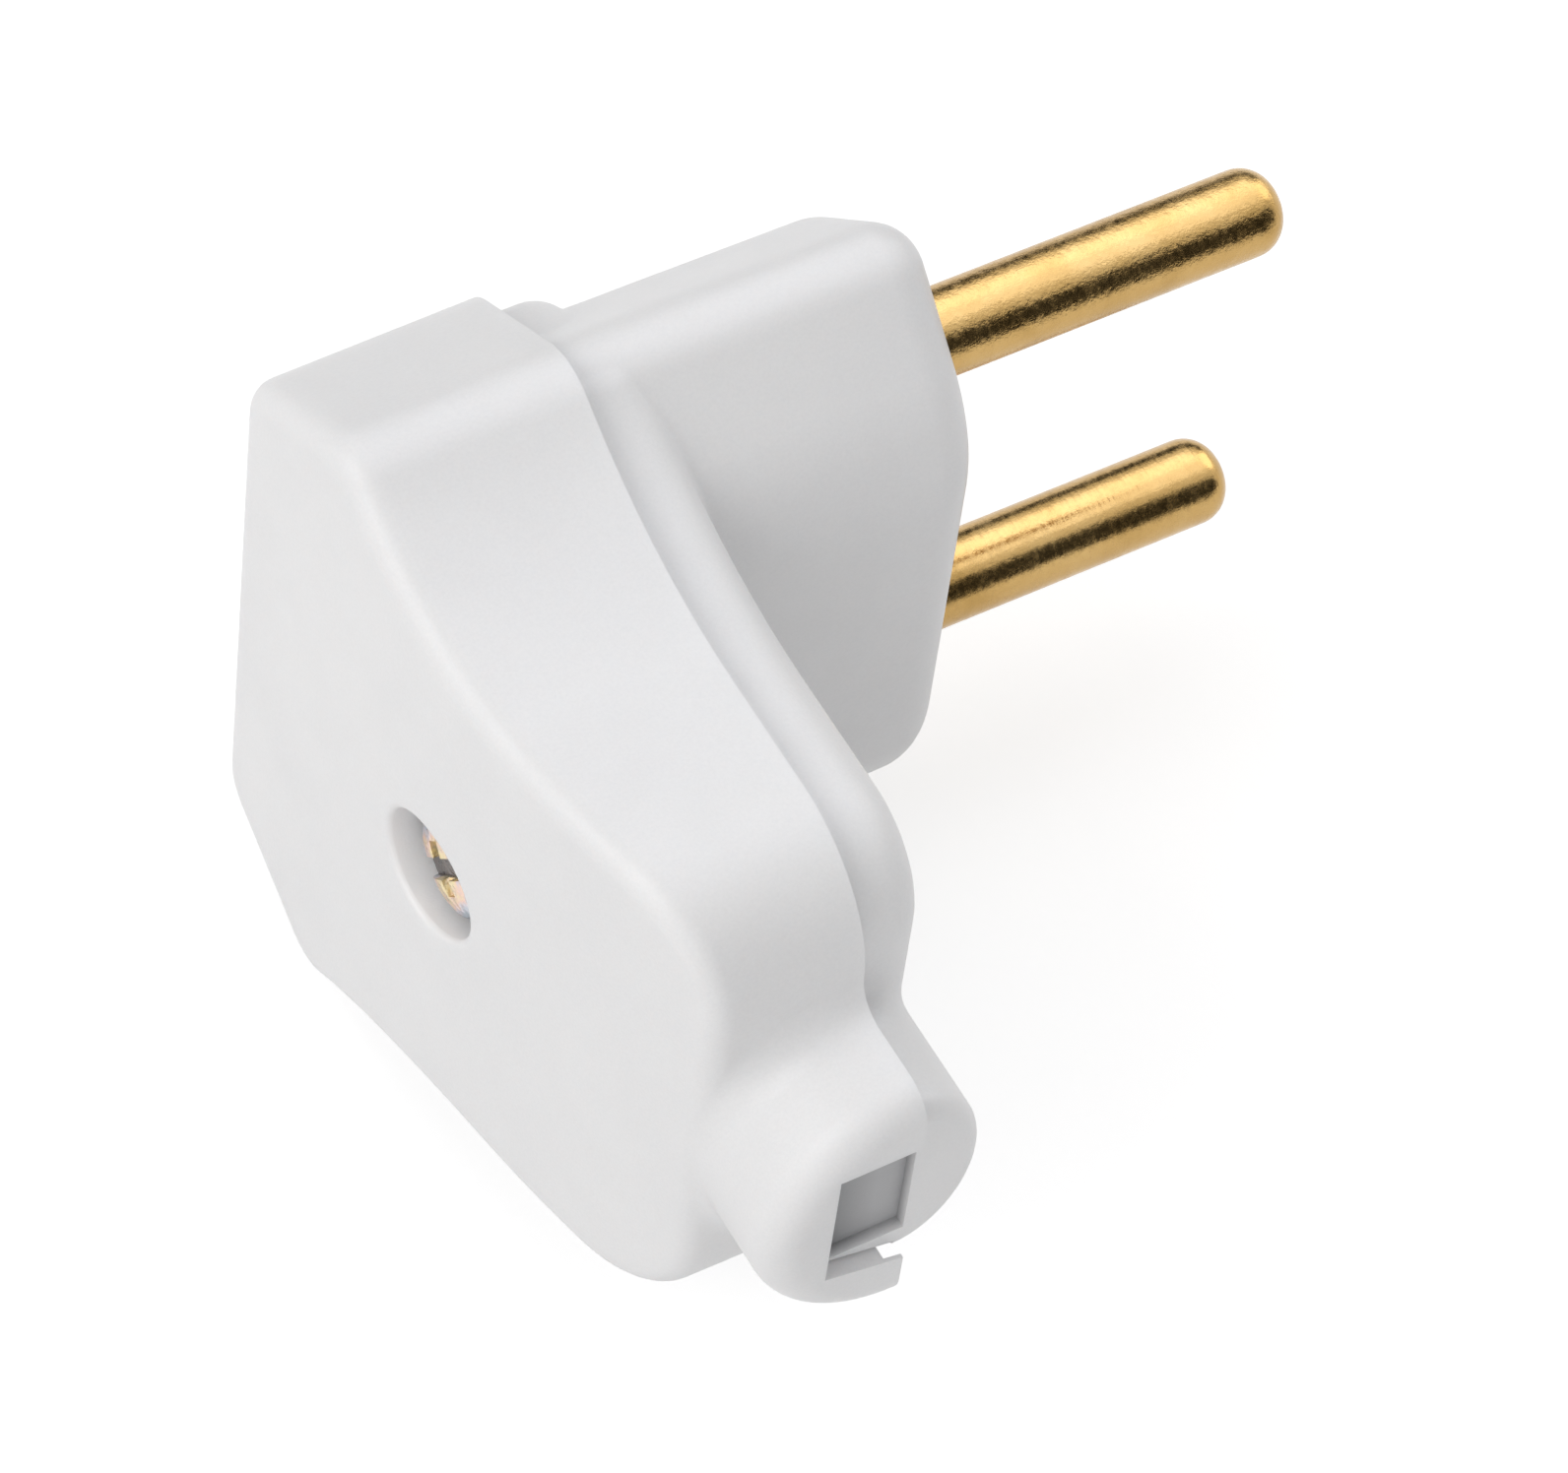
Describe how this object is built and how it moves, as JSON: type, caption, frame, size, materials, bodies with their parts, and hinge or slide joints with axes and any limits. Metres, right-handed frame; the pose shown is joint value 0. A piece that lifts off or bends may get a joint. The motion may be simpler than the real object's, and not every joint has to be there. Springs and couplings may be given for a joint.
{
  "type": "angled plug",
  "caption": "Right-angle mains plug with a white moulded housing, hexagonal nose, round solid pins, side cord outlet and a recessed cover screw.",
  "frame": {"origin": "centre of the engagement face of the nose, midway between the pins", "axes": "+X out of the face along the pins, -Y out of the cord outlet, +Z along the line of the pins"},
  "size_m": [0.0464, 0.0401, 0.0368],
  "materials": {
    "housing": "satin white moulded plastic",
    "pin": "polished, with fine drawing and handling marks",
    "screw": "yellow-passivated zinc plate"
  },
  "bodies": {
    "root": {"base": "housing", "cover": "housing", "cover_screw": "screw", "pin_lower": "pin", "pin_upper": "pin", "terminal_screw_lower": "screw", "terminal_screw_upper": "screw"}
  },
  "joints": []
}
